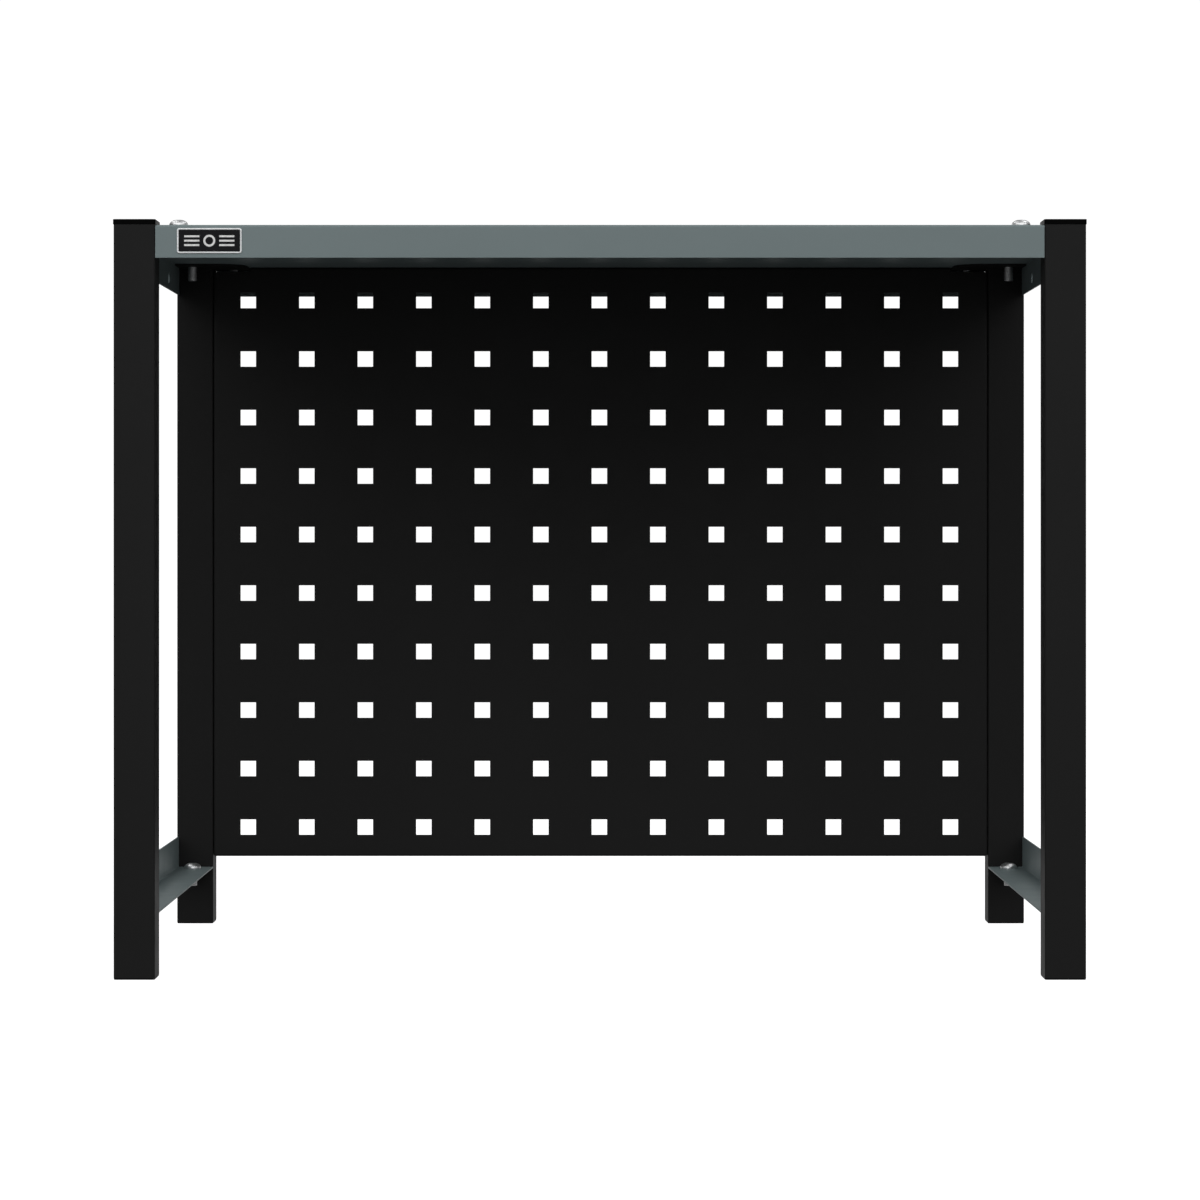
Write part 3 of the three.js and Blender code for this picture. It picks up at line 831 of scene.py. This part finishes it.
def panel():
    """The back panel: a grid of square holes in one sheet, with its edges folded to the back."""
    low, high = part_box("peg_panel")
    gusset_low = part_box("tray_gusset_rear_right")[0]
    notch_x = gusset_low.x - NOTCH_BESIDE_GUSSET
    notch_z = gusset_low.z - NOTCH_BELOW_GUSSET
    left, right = low.x + BEND, high.x - BEND
    bottom, top = low.z + BEND, high.z - BEND
    depth = high.y - low.y
    half = PEG_SIDE / 2
    columns = [PEG_MIDDLE_X + PEG_PITCH * (i - (PEG_COLUMNS - 1) / 2) for i in range(PEG_COLUMNS)]
    rows = [PEG_LOWEST_Z + PEG_PITCH * i for i in range(PEG_ROWS)]
    xs = sorted([left, right, -notch_x, notch_x] + [c + s * half for c in columns for s in BOTH])
    zs = sorted([bottom, top, notch_z] + [r + s * half for r in rows for s in BOTH])

    def is_open(x, z):
        in_hole = any(abs(x - c) < half for c in columns) and any(abs(z - r) < half for r in rows)
        return in_hole or (abs(x) > notch_x and z > notch_z)

    bm = bmesh.new()
    for x0, x1 in zip(xs, xs[1:]):
        for z0, z1 in zip(zs, zs[1:]):
            if not is_open((x0 + x1) / 2, (z0 + z1) / 2):
                add_upright_face(bm, rectangle(x0, z0, x1, z1), low.y)
    weld(bm)
    flat = low.y + NEAR
    for x, s in ((left, -1), (right, 1)):
        fold(bm, lambda p: abs(p.x - x) < NEAR and p.y < flat, X_AXIS * s, Y_AXIS, depth)
    for z, s in ((bottom, -1), (top, 1)):
        fold(bm, lambda p: abs(p.z - z) < NEAR and p.y < flat, Z_AXIS * s, Y_AXIS, depth)
    for x, s in ((left, -1), (right, 1)):
        closed_corner(bm, Vector((x, low.y, bottom)), X_AXIS * s, -Z_AXIS, Y_AXIS, depth)
    weld(bm)
    face_outward(bm, -Y_AXIS)
    piece("panel_sheet", bm, BLACK, "peg_panel", wall=SHEET, soften=PUNCHED_EDGE)


# ---- Badge ---------------------------------------------------------------------------------------

def badge():
    """A small plate on the front flange: a raised silver rim round a dark field, with a plain mark."""
    low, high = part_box("badge_plate")
    middle = (low + high) / 2
    half_x, half_z = (high.x - low.x) / 2, (high.z - low.z) / 2
    back, front = high.y, low.y
    field = back - BADGE_FIELD
    swell = BADGE_RIM / 2

    def ring(inset, y):
        radius = max(BADGE_CORNER - inset, BADGE_FIELD_CORNER)
        outline = rounded_rectangle(half_x - inset, half_z - inset, radius)
        return [(middle.x + a, y, middle.z + b) for a, b in outline]

    rings = [ring(0, back), ring(0, front + swell)]
    for a, b in arc(swell, 180, 0, RIM_STEPS)[1:]:
        rings.append(ring(swell + a, front + swell - b))
    rings.append(ring(BADGE_RIM, field))
    bm = loft(rings)
    for face in bm.faces:
        face.material_index = int(all(abs(v.co.y - field) < NEAR for v in face.verts))
    show("badge_frame", mesh_of("badge_frame", bm, [SILVER, DARK_FIELD]), ["badge_plate"])
    badge_mark(middle, field - MARK_PROUD)


def badge_mark(middle, y):
    """A ring with three bars on each side, no letters."""
    bm = bmesh.new()
    inner, outer = [circle(middle.x, middle.z, radius, MARK_SIDES) for radius in MARK_RING]
    for i in range(MARK_SIDES):
        j = (i + 1) % MARK_SIDES
        add_upright_face(bm, [outer[i], outer[j], inner[j], inner[i]], y)
    for s in BOTH:
        x0, x1 = sorted(middle.x + s * reach for reach in MARK_BAR)
        for level in (-1, 0, 1):
            z = middle.z + level * MARK_BAR_PITCH
            add_upright_face(bm, rectangle(x0, z - MARK_BAR_HALF, x1, z + MARK_BAR_HALF), y)
    weld(bm)
    bmesh.ops.recalc_face_normals(bm, faces=bm.faces)
    for face in bm.faces:
        if face.normal.y > 0:
            face.normal_flip()
    show("badge_mark", mesh_of("badge_mark", bm, [MARK]), [], MARK_WALL, MARK_EDGE)


# ---- Assembly ------------------------------------------------------------------------------------

BLACK = powder_coat("black_powder_coat", (0.016, 0.016, 0.016), 0.5, 0.06)
GREY = powder_coat("grey_powder_coat", (0.190, 0.236, 0.241), 0.45, 0.2)
ZINC = zinc_plate("bright_zinc", (0.68, 0.69, 0.705), (0.81, 0.815, 0.81))
# Dark zinc for the socket's inside: painted shade in the recess, not a colour of the metal
SOCKET_SHADE_ZINC = zinc_plate("zinc_with_painted_socket_shade", (0.16, 0.16, 0.165), (0.24, 0.24, 0.24))
PLASTIC = moulded_plastic("black_polyethylene", (0.0022, 0.0022, 0.0022), 0.34, 0.12, specular=0.01)
SILVER = badge_metal("badge_silver")
DARK_FIELD = moulded_plastic("badge_dark_field", (0.006, 0.006, 0.007), 0.4, 0.2, specular=0.1)
MARK = moulded_plastic("badge_mark_pale", (0.80, 0.80, 0.79), 0.4, 0.1)

make_camera()
make_world()
make_lights()
make_floor()
for where, sx, sy in CORNERS:
    post(where)
    cap(where)
    foot_plug(where)
    gusset(where, sx, sy)
    tab(where, sx, sy)
add_screws()
add_inserts()
tray()
for side, sx in SIDES:
    rail(side, sx)
panel()
badge()

scene.view_settings.view_transform = "Standard"
scene.view_settings.look = "None"
